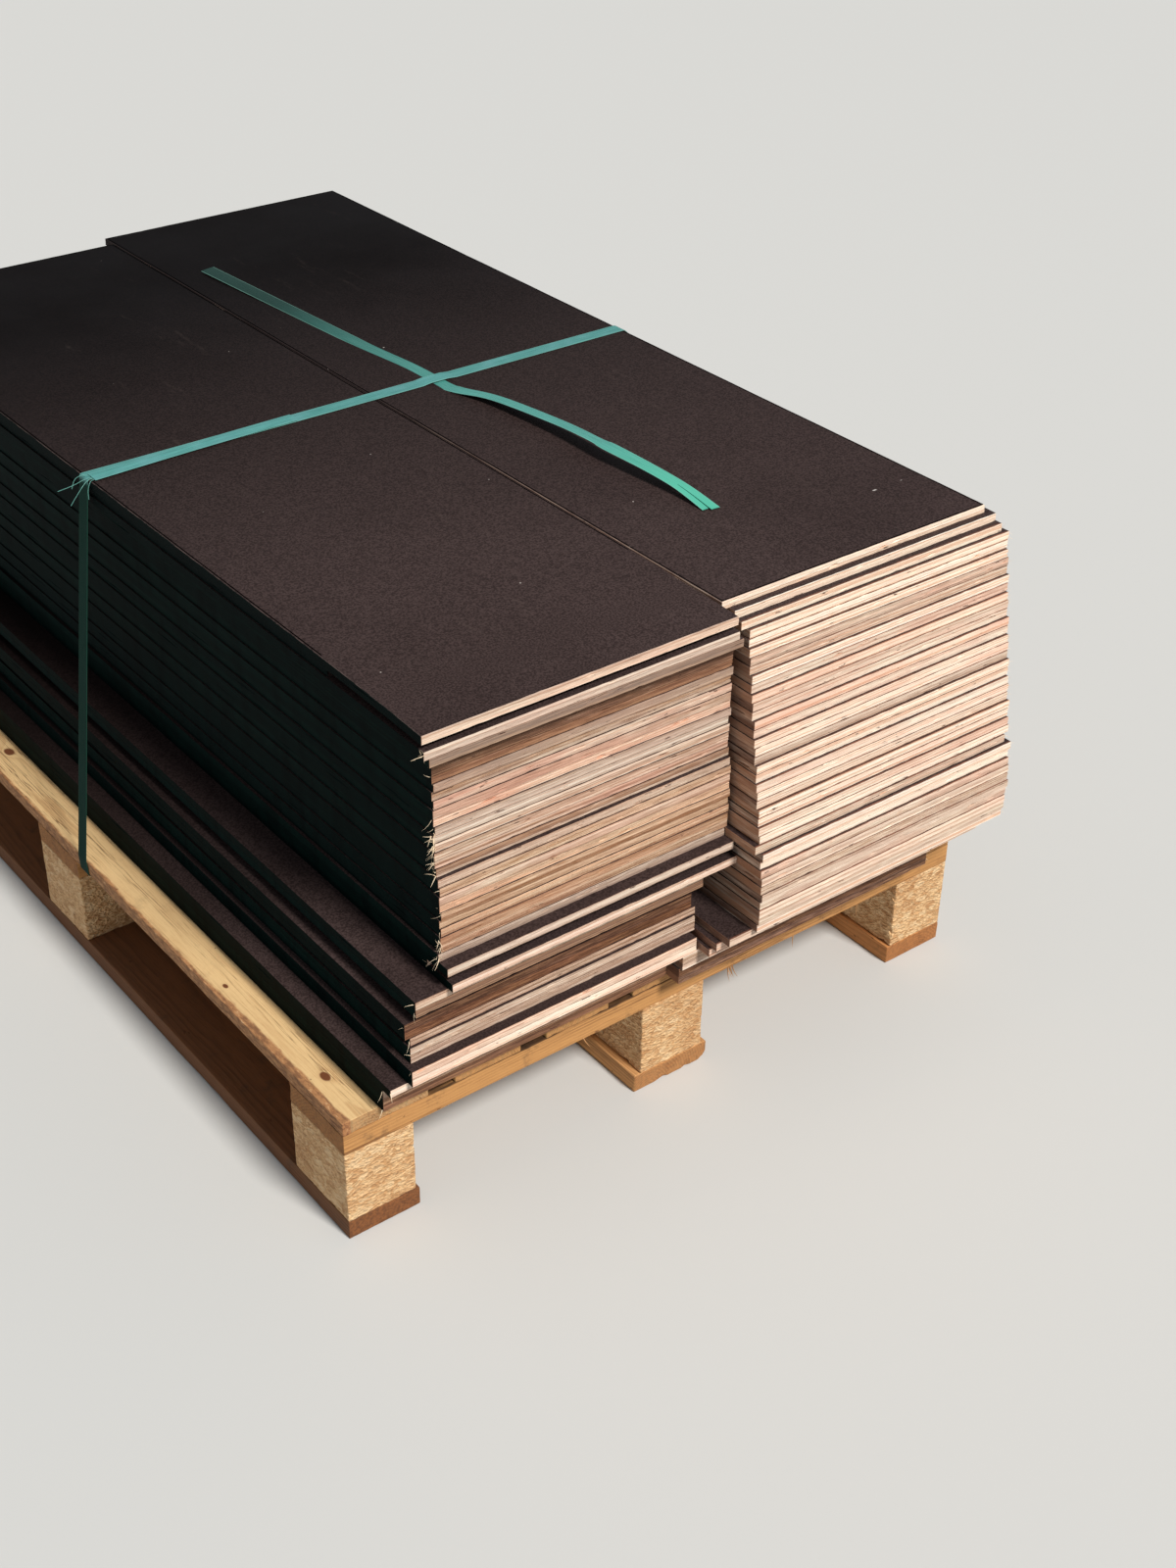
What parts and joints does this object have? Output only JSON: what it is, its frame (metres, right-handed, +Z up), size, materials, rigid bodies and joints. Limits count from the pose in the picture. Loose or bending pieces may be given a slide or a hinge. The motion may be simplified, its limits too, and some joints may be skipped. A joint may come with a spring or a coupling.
{
  "type": "strapped plywood sheet stack on pallet",
  "caption": "Long strips of film-faced plywood stacked in two tall columns on a wooden block pallet, held by one green strap, with a cut strap lying on top.",
  "frame": {"origin": "middle of the pallet's underside, on the floor", "axes": "+Z up, +Y along the sheets away from the pictured short end, +X to the right as seen from that end"},
  "size_m": [0.8145, 1.3264, 0.569],
  "materials": {
    "pallet_timber": "rough sawn, worn and dirty",
    "pallet_block": "pressed chipboard, rough",
    "film_plywood": "sawn ply edges, dark smooth film on the faces",
    "strapping": "embossed, slightly translucent"
  },
  "bodies": {
    "root": {"block_back_left": "pallet_block", "block_back_middle": "pallet_block", "block_back_right": "pallet_block", "block_centre_left": "pallet_block", "block_centre_middle": "pallet_block", "block_centre_right": "pallet_block", "block_front_left": "pallet_block", "block_front_middle": "pallet_block", "block_front_right": "pallet_block", "cut_strap": "strapping", "deck_board_1": "pallet_timber", "deck_board_2": "pallet_timber", "deck_board_3": "pallet_timber", "deck_board_4": "pallet_timber", "deck_board_5": "pallet_timber", "deck_board_6": "pallet_timber", "deck_board_7": "pallet_timber", "left_proud_sheets": "film_plywood", "left_set_back_sheet": "film_plywood", "left_sheets_even": "film_plywood", "left_sheets_odd": "film_plywood", "left_top_sheet": "film_plywood", "right_sheets_even": "film_plywood", "right_sheets_odd": "film_plywood", "right_top_sheet": "film_plywood", "runner_left": "pallet_timber", "runner_middle": "pallet_timber", "runner_right": "pallet_timber", "stringer_back": "pallet_timber", "stringer_centre": "pallet_timber", "stringer_front": "pallet_timber", "tight_strap": "strapping"}
  },
  "joints": []
}
